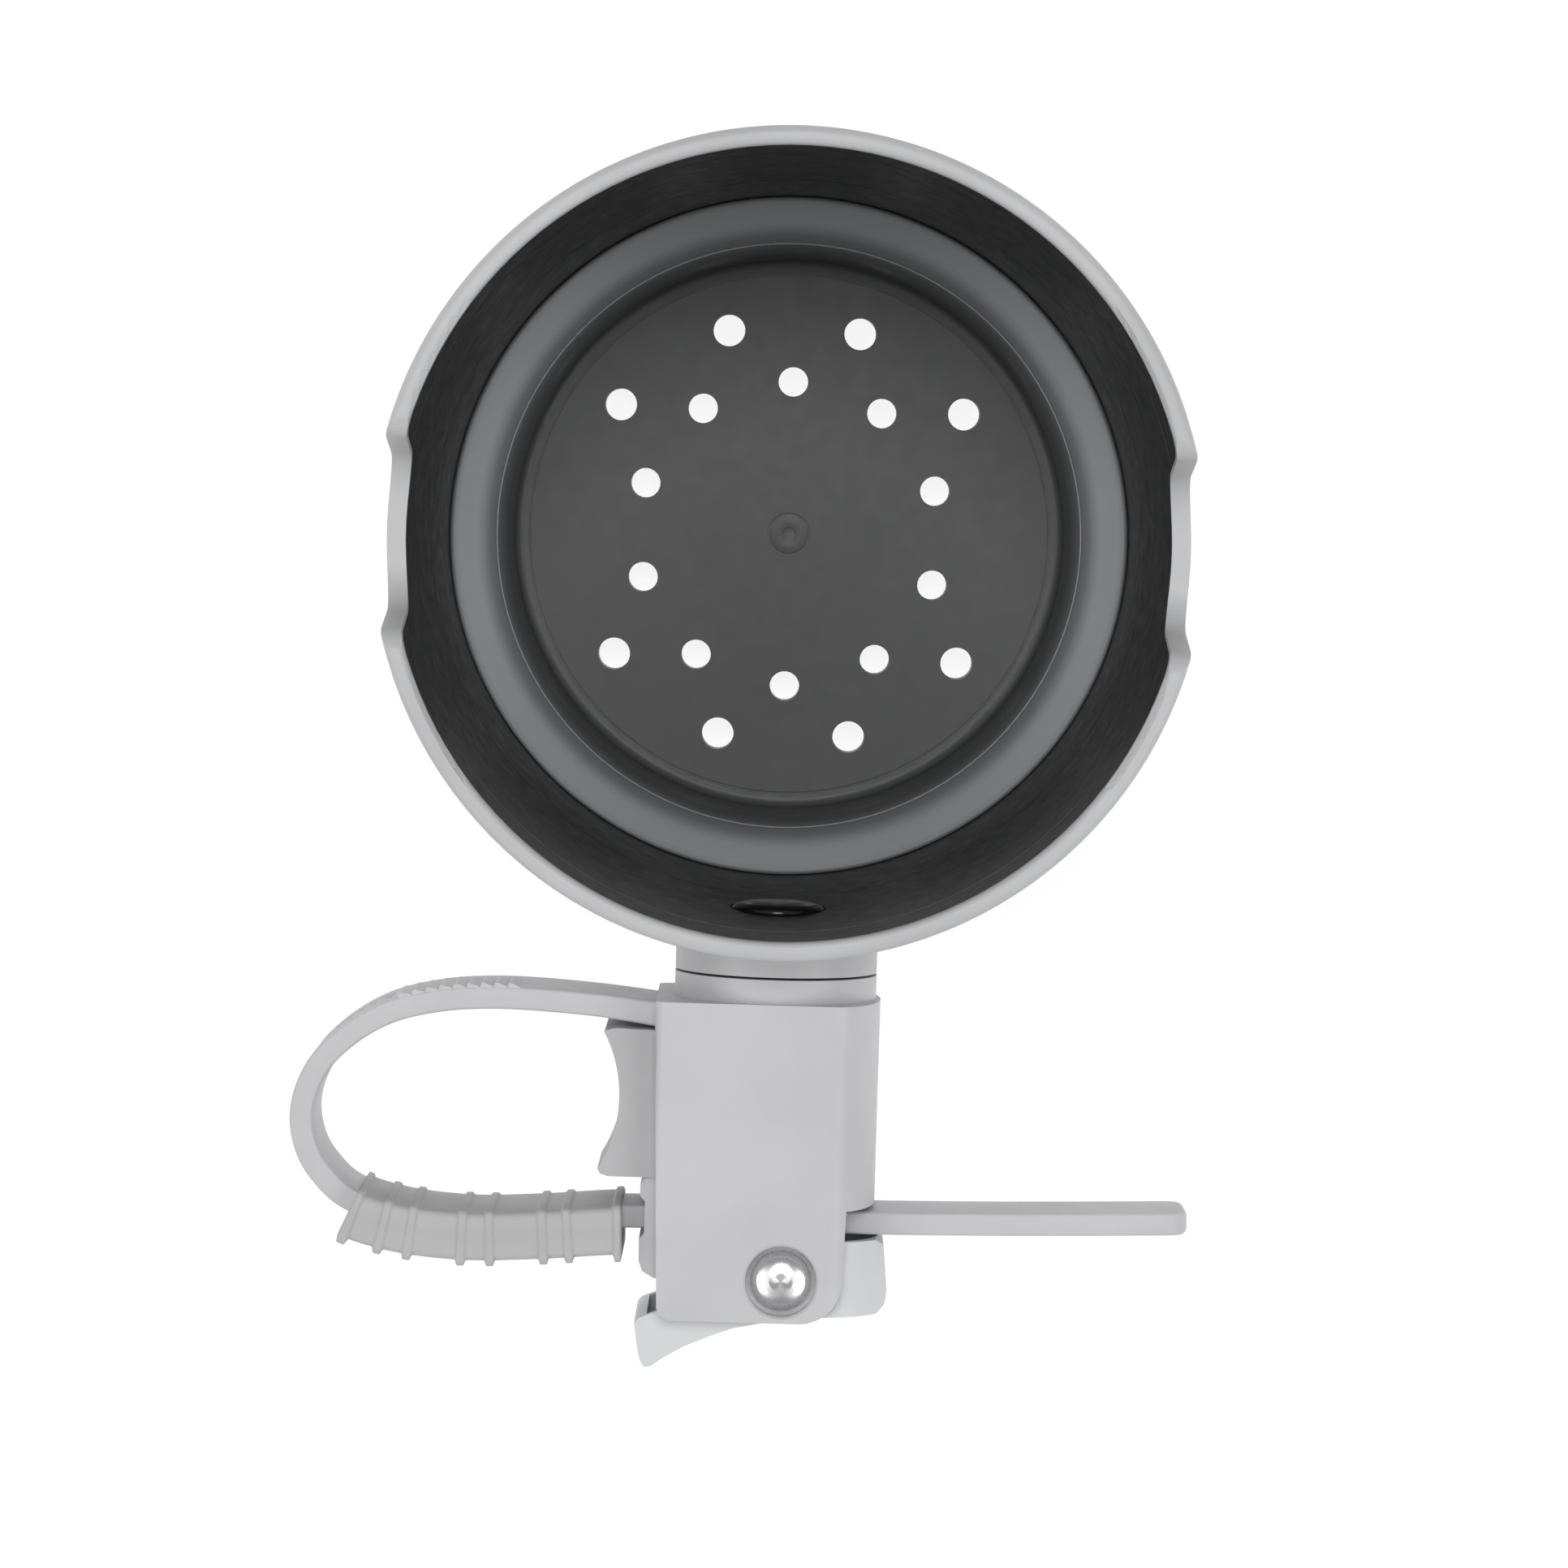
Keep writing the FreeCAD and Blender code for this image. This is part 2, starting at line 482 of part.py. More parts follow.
# ---------------------------------------------------------------- grip pad
pad_plan = extrude("PadPlan", sketch("PadSketch", "pa", [
    (-14.1, -58.75), (-18.9, -58.6), (-20.1, -58.85), (-20.75, -59.5), (-20.9, -60.2), (-20.9, -74.0),
    (-20.85, -75.3), (-20.35, -76.1), (-19.4, -76.4), (-13.65, -76.4)], "XY", (0, 0, 48.5)), 17)
saddle = cylinder("Saddle", "pad_saddle_rad", 40, ("-pad_saddle_x", "-pad_mid_y", 38))
pad_off = fuse("PadOff", [saddle, hsg_block])
pad_cut = cut("PadCut", pad_plan, pad_off)
node(fuse("Pad", [pad_cut] + studs), "grip_pad")

# ---------------------------------------------------------------- strap
centre = [(-13.0, -56.9), (-16.9, -56.45), (-20.9, -56.05), (-28.7, -55.55), (-34.5, -55.5), (-40.3, -56.05), (-46.1, -57.6),
          (-50.4, -60.1), (-54.1, -63.7), (-55.9, -67.4), (-56.35, -71.1), (-55.35, -74.9), (-53.45, -77.65),
          (-50.8, -79.95), (-45.5, -81.75), (-36.9, -82.7), (-27.9, -82.35), (-19.0, -81.6), (-15.3, -81.5), (-8.0, -81.5),
          (0.0, -81.5), (14.7, -81.45), (29.2, -81.15), (45.0, -80.65), (50.3, -80.45)]
path = Part.BSplineCurve()
path.interpolate([Vector(x, y, 0) for x, y in centre])
samples = path.toShape().discretize(Distance=0.4)
run = [0.0]
for a, b in zip(samples, samples[1:]):
    run.append(run[-1] + (b - a).Length)


def frame_at(s):
    """Point and left-hand normal (towards the outside of the loop on the top strand) at arc length s."""
    s = min(max(s, 0.0), run[-1])
    for i in range(len(run) - 1):
        if run[i + 1] >= s:
            break
    u = (s - run[i]) / (run[i + 1] - run[i])
    p = samples[i] + (samples[i + 1] - samples[i]) * u
    a, b = samples[max(i - 1, 0)], samples[min(i + 2, len(samples) - 1)]
    d = b - a
    d.normalize()
    return p, Vector(d.y, -d.x, 0)


def arc_at_x(x, after):
    """Arc length where the path passes X = x on the run beyond `after`."""
    best = None
    for i in range(len(run) - 1):
        if run[i] >= after and (samples[i].x - x) * (samples[i + 1].x - x) <= 0:
            return run[i]
    return best


def ribbon(s0, s1, inner, outer, z0, z1):
    """Solid between two offset curves of the path; inner and outer are functions of arc length."""
    n = max(int((s1 - s0) / 1.0), 4)
    stations = [s0 + (s1 - s0) * k / n for k in range(n + 1)]
    lo, hi = [], []
    for s in stations:
        p, nrm = frame_at(s)
        lo.append(p - nrm * inner(s))
        hi.append(p + nrm * outer(s))
    ca, cb = Part.BSplineCurve(), Part.BSplineCurve()
    ca.interpolate(lo)
    cb.interpolate(hi)
    edges = [ca.toShape(), Part.LineSegment(lo[-1], hi[-1]).toShape(), cb.toShape(), Part.LineSegment(hi[0], lo[0]).toShape()]
    face = Part.Face(Part.Wire(Part.__sortEdges__(edges)))
    face.translate(Vector(0, 0, z0))
    return face.extrude(Vector(0, 0, z1 - z0))


def comb(s0, s1, z0, z1, sunk=0.0):
    """Sawtooth ladder on the outer face, one tooth per pitch; sunk is how far its roots lie below the face."""
    half, h_t, p_t = val["strap_thick"] / 2, val["tooth_height"], val["tooth_pitch"]
    h_t = h_t if sunk == 0.0 else sunk - 0.06
    count = int((s1 - s0) / p_t)
    low, high = [], []
    for k in range(count):
        s = s0 + k * p_t
        for f, up in ((0.0, -0.05), (0.72, h_t), (0.92, h_t), (0.98, -0.05)):
            p, nrm = frame_at(s + f * p_t)
            high.append(p + nrm * (half - sunk + up))
            if f in (0.0, 0.98):
                low.append(p + nrm * (half - sunk - 0.4))
    pts = high + low[::-1]
    face = Part.Face(Part.makePolygon(pts + [pts[0]]))
    face.translate(Vector(0, 0, z0))
    return face.extrude(Vector(0, 0, z1 - z0))


mid = val["swivel_z"]
half = val["strap_thick"] / 2
wide, narrow = val["loop_width"] / 2, val["tail_width"] / 2
deep, track = val["channel_depth"], val["channel_half"]
turn = arc_at_x(-50.0, next(r for r, p in zip(run, samples) if p.y < -72.0))
s_split = turn
cell("strap_split_gap", 0.46)
s_sleeve0, s_sleeve1 = turn + val["strap_split_gap"], arc_at_x(-17.6, turn)
root = val["strap_root_thick"] / 2


def loop_inner(s):
    return half + (root - half) * max(0.0, 1 - s / 8.0)


doc.recompute()
loop = ribbon(0.0, s_split, loop_inner, lambda s: half, mid - wide, mid + wide)
s_teeth0 = arc_at_x(-30.6, 0.0)
s_teeth1 = arc_at_x(-45.2, 0.0)
loop = loop.fuse(comb(s_teeth0, s_teeth1, mid - 3.0, mid + wide))
loop = loop.cut(ribbon(s_teeth1 + 0.2, s_split + 1.0, lambda s: deep - half, lambda s: half + 1.0, mid - track, mid + track))
loop = loop.fuse(comb(s_teeth1 + 0.6, s_split - 0.3, mid - track - 0.05, mid + track + 0.05, deep)).removeSplitter()
loop = loop.cut(housing.Shape)
strap_loop = doc.addObject("Part::Feature", "StrapLoop")
strap_loop.Shape = loop
node(strap_loop, "strap_loop")

s_end = run[-1] - 0.15
s_narrow = s_sleeve1 - 3.0
tongue = ribbon(s_sleeve0, s_end, lambda s: half, lambda s: half, mid - wide, mid + wide)
x_narrow = frame_at(s_narrow)[0].x
for low, high in ((mid + narrow, mid + wide + 1.0), (mid - wide - 1.0, mid - narrow)):
    tongue = tongue.cut(Part.makeBox(60.0 - x_narrow, 12.0, high - low, Vector(x_narrow, -87.0, low)))
ladder_tail = comb(s_sleeve1 + 0.4, s_end - 7.6, mid - track - 0.05, mid + track + 0.05, deep)
tongue = tongue.cut(ribbon(s_sleeve1 + 0.2, s_end - 7.0, lambda s: deep - half, lambda s: half + 1.0, mid - track, mid + track))
tongue = tongue.fuse(ladder_tail).removeSplitter()
strap_tongue = doc.addObject("Part::Feature", "StrapTongue")
strap_tongue.Shape = tongue
node(strap_tongue, "strap_tongue")

# grip sleeve round the lower strand
sw = val["sleeve_width"] / 2
top_gap = 1.5
out_reach = val["sleeve_height"] - top_gap
sleeve = ribbon(s_sleeve0, s_sleeve1, lambda s: top_gap, lambda s: out_reach, mid - sw, mid + sw)
stand, rt = val["rib_stand"], val["rib_thick"]
rib_x = [-50.0, -45.5, -42.5, -36.5, -33.4, -27.1, -23.9, -17.9]
for x in rib_x:
    s = arc_at_x(x, turn - 2.0) if x > -49.9 else s_sleeve0 + rt / 2
    s = max(s, s_sleeve0 + rt / 2)
    s = min(s, s_sleeve1 - rt / 2)
    rib = ribbon(s - rt / 2, s + rt / 2, lambda s: top_gap + stand * 0.4, lambda s: out_reach + stand,
                 mid - sw - stand * 0.4, mid + sw + stand * 0.4)
    sleeve = sleeve.fuse(rib)
sleeve = sleeve.removeSplitter()
inner = ribbon(s_sleeve0 - 1.0, s_narrow + 0.0, lambda s: half + 0.02, lambda s: half + 0.02, mid - wide - 0.02, mid + wide + 0.02)
inner2 = ribbon(s_narrow - 0.5, s_sleeve1 + 1.0, lambda s: half + 0.02, lambda s: half + 0.02, mid - narrow - 0.02, mid + narrow + 0.02)
sleeve = sleeve.cut(inner).cut(inner2)
grip_sleeve = doc.addObject("Part::Feature", "GripSleeve")
grip_sleeve.Shape = sleeve
node(grip_sleeve, "grip_sleeve")

# ---------------------------------------------------------------- lever
cell("lev_left_x", 16.5)
cell("lev_inner_left_x", 14.3)
cell("lev_inner_bulge", 5.2)
lev_section = d_bar("LeverSection", "lev_left_x", "lev_flat_x", "lev_bulge", "lev_back_z", "lev_front_z", 82, 101)
lev_plan = extrude("LeverPlan", sketch("LeverPlanSketch", "lp", [
    (12.9, -83.4), (13.9, -84.2), (14.5, -90.2), (14.2, -91.6), (13.2, -92.35), (7.4, -92.5), (3.2, -92.85),
    (-0.9, -93.5), (-4.0, -94.15), (-6.9, -95.25), (-9.8, -96.5), (-12.3, -98.0), (-13.6, -98.95), (-14.4, -99.1),
    (-14.85, -98.5), (-15.15, -97.6), (-15.4, -96.2), (-15.75, -93.8), (-15.2, -93.2), (-12.9, -92.3), (-8.2, -90.4),
    (-4.4, -87.2), (-1.9, -84.7), (0.2, -84.1), (2.6, -83.4)], "XY", (0, 0, 40)), 34)
lev_solid = common("LeverSolid", [lev_section, lev_plan])
lev_in_section = d_bar("LeverInnerSection", "lev_inner_left_x", "lev_flat_x", "lev_inner_bulge", 49.0, 65.0, 80, 101)
lev_in_plan = extrude("LeverInnerPlan", sketch("LeverInnerPlanSketch", "lq", [
    (13.2, -80.0), (13.15, -89.9), (12.6, -90.75), (7.4, -90.9), (3.2, -91.25), (-0.7, -91.9), (-3.5, -92.5),
    (-6.3, -93.6), (-9.1, -94.85), (-11.6, -96.35), (-13.1, -97.4), (-13.6, -97.1), (-14.0, -95.8), (-14.35, -93.0),
    (-14.35, -80.0)], "XY", (0, 0, 40)), 34)
lev_inside = common("LeverInside", [lev_in_section, lev_in_plan])
lev_tub = cut("LeverTub", lev_solid, lev_inside)
hub_low = cylinder("HubLow", "hub_rad", 5.5, ("pin_x", "-pin_y", "lev_back_z"))
hub_high = cylinder("HubHigh", "hub_rad", 5.5, ("pin_x", "-pin_y", "hub_gap_high"))
pawl = extrude("Pawl", sketch("PawlSketch", "pw", [
    (3.3, -91.6), (8.0, -91.4), (8.0, -84.7), (7.2, -83.08), (6.6, -83.9), (5.6, -83.08), (5.0, -83.9), (4.0, -83.08)],
    "XY", (0, 0, 53.2)), 7.6)
pawl_low = box("PawlWeb", (4.6, -91.6, 48.4), (6.6, -86.2, 65.6))
hub_bore = cylinder("HubBore", "hub_bore_rad", 40, ("pin_x", "-pin_y", 40))
spring_room = cylinder("SpringRoom", 3.75, 7.8, ("pin_x", "-pin_y", "hub_gap_low"))
lev_sum = fuse("LeverSum", [lev_tub, hub_low, hub_high, pawl, pawl_low])
lev_room = fuse("LeverRoom", [hub_bore, spring_room])
node(cut("Lever", lev_sum, lev_room), "release_lever")

# ---------------------------------------------------------------- lever pin, retainer
pin_place = Placement(Vector(val["pin_x"], -val["pin_y"], 0), Rotation())
pin = body_turned("lever_pin", "pin", [
    (0, 44.05), (1.7, 44.05), ("pin_rad", 44.4), ("pin_rad", 68.0), ("pin_head_rad", 68.0), ("pin_head_rad", 68.55),
    (3.3, 68.95), (2.8, 69.35), (2.1, 69.65), (1.2, 69.85), (0, 69.92)], pin_place)
pin.setExpression("Placement.Base.x", "Sizes.pin_x")
pin.setExpression("Placement.Base.y", "-Sizes.pin_y")
node(pin, "lever_pin")
ret = body_turned("pin_retainer", "ret", [
    (2.0, 44.85), (3.15, 44.85), (3.15, 45.35), (2.0, 45.35)], pin_place)
ret.setExpression("Placement.Base.x", "Sizes.pin_x")
ret.setExpression("Placement.Base.y", "-Sizes.pin_y")
node(ret, "pin_retainer")


# ---------------------------------------------------------------- springs
def coil(pitch, turns, rad, wire):
    helix = Part.makeHelix(pitch, pitch * turns, rad)
    start = helix.Edges[0].valueAt(helix.Edges[0].FirstParameter)
    tangent = helix.Edges[0].tangentAt(helix.Edges[0].FirstParameter)
    circle = Part.Wire([Part.Circle(start, tangent, wire).toShape()])
    pipe = Part.BRepOffsetAPI.MakePipeShell(Part.Wire(helix.Edges))
    pipe.setFrenetMode(True)
    pipe.add(circle)
    pipe.build()
    pipe.makeSolid()
    return pipe.shape()


def rod(a, b, rad):
    d = b - a
    return Part.makeCylinder(rad, d.Length, a, d)


wire = val["spring_wire_rad"]
mean = val["spring_mean_rad"]
turns = val["spring_turns"]
pitch = val["spring_pitch"]
z_low = mid - pitch * turns / 2
z_high = z_low + pitch * turns
winding = coil(pitch, turns, mean, wire)
winding.rotate(Vector(0, 0, 0), Vector(0, 0, 1), 270)
winding.translate(Vector(val["pin_x"], -val["pin_y"], z_low))
spring = Part.Compound([
    winding,
    rod(Vector(val["pin_x"] - 0.01, -val["pin_y"] - mean, z_low), Vector(-7.4, -92.75, z_low), wire),
    rod(Vector(val["pin_x"] - 0.01, -val["pin_y"] + mean, z_high), Vector(-10.2, -84.97, z_high), wire)])
torsion = doc.addObject("Part::Feature", "TorsionSpring")
torsion.Shape = spring
node(torsion, "torsion_spring")

for sgn, nm in ((-1, "left"), (1, "right")):
    y_a = val["detent_ball_y"] + val["detent_ball_rad"] + 0.28
    y_b = val["detent_bore_y"] - 0.25
    c = coil((y_b - y_a) / 3.5, 3.5, 1.1, 0.25)
    c.rotate(Vector(0, 0, 0), Vector(1, 0, 0), 90)
    c.translate(Vector(sgn * val["race_mid_rad"], -y_a, mid))
    f = doc.addObject("Part::Feature", "DetentSpring" + nm)
    f.Shape = c
    node(f, "detent_spring_" + nm)

doc.recompute()

# ---------------------------------------------------------------- checks and files
bad = [o.Name for o in doc.Objects if any(s in ("Invalid", "Error") for s in o.State)]
if bad:
    raise RuntimeError("objects in error: %s" % bad)
labels = [o.Label for o in parts]
if len(set(labels)) != len(labels):
    raise RuntimeError("labels repeat")
for o in parts:
    if o.Shape.isNull() or not o.Shape.isValid() or not o.Shape.Solids:
        raise RuntimeError("bad shape: %s" % o.Label)
os.makedirs("parts", exist_ok=True)
for o in parts:
    o.Shape.exportStep("parts/%s.step" % o.Label)
    print(o.Label, len(o.Shape.Solids), round(o.Shape.Volume, 1))
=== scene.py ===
import bpy, bmesh, math
from mathutils import Vector, Matrix, noise


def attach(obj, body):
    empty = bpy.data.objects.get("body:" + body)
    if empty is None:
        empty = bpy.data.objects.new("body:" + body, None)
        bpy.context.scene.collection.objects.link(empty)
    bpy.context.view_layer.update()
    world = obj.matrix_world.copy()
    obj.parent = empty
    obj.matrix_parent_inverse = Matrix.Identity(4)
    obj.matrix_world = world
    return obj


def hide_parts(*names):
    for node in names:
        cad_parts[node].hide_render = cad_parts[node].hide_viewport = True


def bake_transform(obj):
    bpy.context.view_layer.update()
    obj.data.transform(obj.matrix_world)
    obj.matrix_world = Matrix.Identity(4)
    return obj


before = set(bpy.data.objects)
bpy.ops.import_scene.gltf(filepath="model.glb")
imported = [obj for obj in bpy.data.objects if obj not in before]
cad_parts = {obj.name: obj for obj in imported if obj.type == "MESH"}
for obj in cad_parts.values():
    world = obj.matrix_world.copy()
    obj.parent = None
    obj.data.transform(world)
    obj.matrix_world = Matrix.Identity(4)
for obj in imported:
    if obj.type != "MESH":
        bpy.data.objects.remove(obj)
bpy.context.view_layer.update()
MM = 0.001
scene = bpy.context.scene
scene.view_settings.view_transform = "Standard"
scene.view_settings.look = "None"

# ------------------------------------------------------------------ camera
ROLL = math.radians(1.7)
HEIGHT = 785.0
NADIR = (0.0, 12.3)
F_PX = 7440.0
AIM = (-6.0, 425.0)
right0 = Vector((math.cos(ROLL), math.sin(ROLL), 0))
up0 = Vector((-math.sin(ROLL), math.cos(ROLL), 0))
fwd = (Vector((0, 0, -1)) + right0 * (AIM[0] / F_PX) - up0 * (AIM[1] / F_PX)).normalized()
up = (up0 - fwd * up0.dot(fwd)).normalized()
right = fwd.cross(up)
spot = (right0 * NADIR[0] + up0 * NADIR[1]) * MM
cam_data = bpy.data.cameras.new("Camera")
cam = bpy.data.objects.new("Camera", cam_data)
scene.collection.objects.link(cam)
f_eff = math.hypot(F_PX, math.hypot(*AIM))
cam_data.sensor_width = 36.0
cam_data.lens = 36.0 * f_eff / 1932.0
cam_data.clip_start, cam_data.clip_end = 0.01, 20
cam.matrix_world = Matrix((
    (right.x, up.x, -fwd.x, spot.x),
    (right.y, up.y, -fwd.y, spot.y),
    (right.z, up.z, -fwd.z, HEIGHT * MM),
    (0, 0, 0, 1)))
scene.camera = cam


# ------------------------------------------------------------------ materials
def tree(name):
    m = bpy.data.materials.new(name)
    m.use_nodes = True
    nt = m.node_tree
    nt.nodes.clear()
    out = nt.nodes.new("ShaderNodeOutputMaterial")
    bsdf = nt.nodes.new("ShaderNodeBsdfPrincipled")
    nt.links.new(bsdf.outputs[0], out.inputs[0])
    return m, nt, bsdf


def noise_node(nt, coord, scale, detail=3.0, rough=0.5):
    n = nt.nodes.new("ShaderNodeTexNoise")
    n.inputs["Scale"].default_value = scale
    n.inputs["Detail"].default_value = detail
    n.inputs["Roughness"].default_value = rough
    nt.links.new(coord, n.inputs["Vector"])
    return n.outputs["Fac"]


def spread(nt, fac, lo, hi, a=0.3, b=0.7):
    r = nt.nodes.new("ShaderNodeMapRange")
    r.inputs["From Min"].default_value = a
    r.inputs["From Max"].default_value = b
    r.inputs["To Min"].default_value = lo
    r.inputs["To Max"].default_value = hi
    nt.links.new(fac, r.inputs["Value"])
    return r.outputs[0]


def blend_colour(nt, fac, a, b):
    m = nt.nodes.new("ShaderNodeMix")
    m.data_type = "RGBA"
    m.inputs[6].default_value = (*a, 1)
    m.inputs[7].default_value = (*b, 1)
    nt.links.new(fac, m.inputs[0])
    return m.outputs[2]


def moulded(name, colour, rough=(0.42, 0.52), grain=0.012, grain_scale=5200.0, cloud=0.05, specular=0.5, coat=0.0):
    """Moulded plastic or rubber: fine mould grain, faint clouding and small roughness changes."""
    m, nt, b = tree(name)
    pos = nt.nodes.new("ShaderNodeTexCoord").outputs["Object"]
    wide = noise_node(nt, pos, 55.0, 4.0)
    lo = tuple(c * (1 - cloud) for c in colour)
    hi = tuple(min(c * (1 + cloud), 1) for c in colour)
    nt.links.new(blend_colour(nt, spread(nt, wide, 0, 1), lo, hi), b.inputs["Base Color"])
    mid = noise_node(nt, pos, 420.0, 3.0)
    nt.links.new(spread(nt, mid, rough[0], rough[1]), b.inputs["Roughness"])
    fine = noise_node(nt, pos, grain_scale, 2.0)
    bump = nt.nodes.new("ShaderNodeBump")
    bump.inputs["Strength"].default_value = 0.5
    bump.inputs["Distance"].default_value = grain * MM
    nt.links.new(fine, bump.inputs["Height"])
    nt.links.new(bump.outputs[0], b.inputs["Normal"])
    b.inputs["Specular IOR Level"].default_value = specular
    b.inputs["Coat Weight"].default_value = coat
    return m


def metal(name, colour, rough, scratch=0.0015):
    m, nt, b = tree(name)
    pos = nt.nodes.new("ShaderNodeTexCoord").outputs["Object"]
    b.inputs["Metallic"].default_value = 1.0
    wide = noise_node(nt, pos, 240.0, 3.0)
    nt.links.new(blend_colour(nt, spread(nt, wide, 0, 1), tuple(c * 0.94 for c in colour), colour), b.inputs["Base Color"])
    nt.links.new(spread(nt, noise_node(nt, pos, 900.0, 3.0), rough[0], rough[1]), b.inputs["Roughness"])
    bump = nt.nodes.new("ShaderNodeBump")
    bump.inputs["Strength"].default_value = 0.3
    bump.inputs["Distance"].default_value = scratch * MM
    nt.links.new(noise_node(nt, pos, 2600.0, 2.0), bump.inputs["Height"])
    nt.links.new(bump.outputs[0], b.inputs["Normal"])
    return m


def ramp(nt, value, stops):
    """Colour by value through grey stops: (value, grey)."""
    r = nt.nodes.new("ShaderNodeValToRGB")
    lo, hi = stops[0][0], stops[-1][0]
    r.color_ramp.interpolation = "EASE"
    while len(r.color_ramp.elements) < len(stops):
        r.color_ramp.elements.new(0.5)
    for e, (at_value, g) in zip(r.color_ramp.elements, stops):
        e.position = (at_value - lo) / (hi - lo)
        e.color = (g * 0.985, g * 1.005, g * 1.035, 1)
    nt.links.new(spread(nt, value, 0.0, 1.0, lo * MM, hi * MM), r.inputs[0])
    return r.outputs[0]


def math_node(nt, op, a, b=None):
    m = nt.nodes.new("ShaderNodeMath")
    m.operation = op
    for i, v in enumerate((a, b)):
        if v is None:
            continue
        if isinstance(v, (int, float)):
            m.inputs[i].default_value = v
        else:
            nt.links.new(v, m.inputs[i])
    return m.outputs[0]


def place(nt):
    """Radius from the cup's axis, height and -Y, all in metres, from the object's own coordinates."""
    sep = nt.nodes.new("ShaderNodeSeparateXYZ")
    nt.links.new(nt.nodes.new("ShaderNodeTexCoord").outputs["Object"], sep.inputs[0])
    x, y, z = sep.outputs
    rad = math_node(nt, "SQRT", math_node(nt, "ADD", math_node(nt, "MULTIPLY", x, x), math_node(nt, "MULTIPLY", y, y)))
    return rad, z, math_node(nt, "MULTIPLY", y, -1.0)


def tone_with_painted_light(mat, colour):
    """Puts a colour socket on a moulded material's base colour, keeping its faint clouding; the sockets given here
    carry painted light.
    """
    nt = mat.node_tree
    b = next(n for n in nt.nodes if n.type == "BSDF_PRINCIPLED")
    cloud = b.inputs["Base Color"].links[0].from_socket
    mul = nt.nodes.new("ShaderNodeMix")
    mul.data_type, mul.blend_type = "RGBA", "MULTIPLY"
    mul.inputs[0].default_value = 1.0
    nt.links.new(cloud, mul.inputs[6])
    nt.links.new(colour, mul.inputs[7])
    nt.links.new(mul.outputs[2], b.inputs["Base Color"])


GREY = moulded("shell_plastic", (0.495, 0.497, 0.505))
HOUSING = moulded("housing_plastic", (0.535, 0.535, 0.548))
STRAP = moulded("strap_plastic", (0.53, 0.53, 0.542), rough=(0.46, 0.56))
LEVER = moulded("lever_plastic", (0.63, 0.645, 0.65))
LINER = moulded("liner_plastic", (0.97, 0.97, 0.97), rough=(0.36, 0.46), grain=0.012, cloud=0.03, specular=0.42)
nt = LINER.node_tree
rad, high, front = place(nt)
top_fade = nt.nodes.new("ShaderNodeMapRange")
top_fade.interpolation_type = "SMOOTHSTEP"
for key, v in (("From Min", 0.046), ("From Max", 0.086), ("To Min", 0.0), ("To Max", 1.0)):
    top_fade.inputs[key].default_value = v
nt.links.new(high, top_fade.inputs["Value"])
side_fade = nt.nodes.new("ShaderNodeMapRange")
side_fade.interpolation_type = "SMOOTHSTEP"
for key, v in (("From Min", 0.012), ("From Max", 0.044), ("To Min", 0.0), ("To Max", 1.0)):
    side_fade.inputs[key].default_value = v
nt.links.new(front, side_fade.inputs["Value"])
# painted light: lifts the top of the liner's wall on the clamp side (-Y) from near-black to grey, where light falls on
# that wall
painted_light_mask = math_node(nt, "MULTIPLY", top_fade.outputs[0], side_fade.outputs[0])
tone_with_painted_light(LINER, blend_colour(nt, painted_light_mask, (0.008, 0.008, 0.009), (0.11, 0.11, 0.11)))
WELL = moulded("well_plastic", (0.98, 0.98, 0.98), rough=(0.43, 0.49), grain=0.010, cloud=0.015)
nt = WELL.node_tree
rad, high, front = place(nt)
# inside of the well by radius: its own dark grey floor, a slight painted shade at the foot of the wall and a painted
# highlight lightening the sloped shoulder ring; the outside of the well keeps its own light grey
well_tone_and_painted_light = ramp(nt, rad, [(34.4, 0.120), (35.2, 0.100), (35.9, 0.115), (37.4, 0.20), (39.6, 0.37), (41.2, 0.37), (42.8, 0.24)])
sill = math_node(nt, "ADD", math_node(nt, "MULTIPLY", rad, 0.363), 0.00891)
below = math_node(nt, "MULTIPLY", math_node(nt, "LESS_THAN", high, sill), math_node(nt, "GREATER_THAN", rad, 0.0367))
under = math_node(nt, "LESS_THAN", high, 0.0008)
outer = math_node(nt, "MAXIMUM", below, under)
mixed = nt.nodes.new("ShaderNodeMix")
mixed.data_type = "RGBA"
nt.links.new(outer, mixed.inputs[0])
nt.links.new(well_tone_and_painted_light, mixed.inputs[6])
mixed.inputs[7].default_value = (0.505, 0.507, 0.515, 1)
tone_with_painted_light(WELL, mixed.outputs[2])
CAP = moulded("cap_plastic", (0.008, 0.008, 0.009), rough=(0.14, 0.22), grain=0.003)
BUSH = moulded("bush_plastic", (0.70, 0.69, 0.66))
PAD = moulded("pad_rubber", (0.46, 0.46, 0.468), rough=(0.62, 0.74), grain=0.02, cloud=0.07, specular=0.35)
SLEEVE = moulded("sleeve_rubber", (0.45, 0.447, 0.455), rough=(0.60, 0.72), grain=0.02, cloud=0.07, specular=0.35)
STEEL = metal("fastener_steel", (0.55, 0.55, 0.54), (0.25, 0.38))
SPRING = metal("spring_steel", (0.50, 0.50, 0.50), (0.18, 0.30))
CHROME = metal("chrome_pin", (0.93, 0.93, 0.94), (0.24, 0.30), 0.0001)
nt = CHROME.node_tree                               # turned face: fine rings round the pin's axis
turned = nt.nodes.new("ShaderNodeTangent")
turned.direction_type, turned.axis = "RADIAL", "Z"
bsdf = next(n for n in nt.nodes if n.type == "BSDF_PRINCIPLED")
bsdf.inputs["Anisotropic"].default_value = 0.75
nt.links.new(turned.outputs[0], bsdf.inputs["Tangent"])

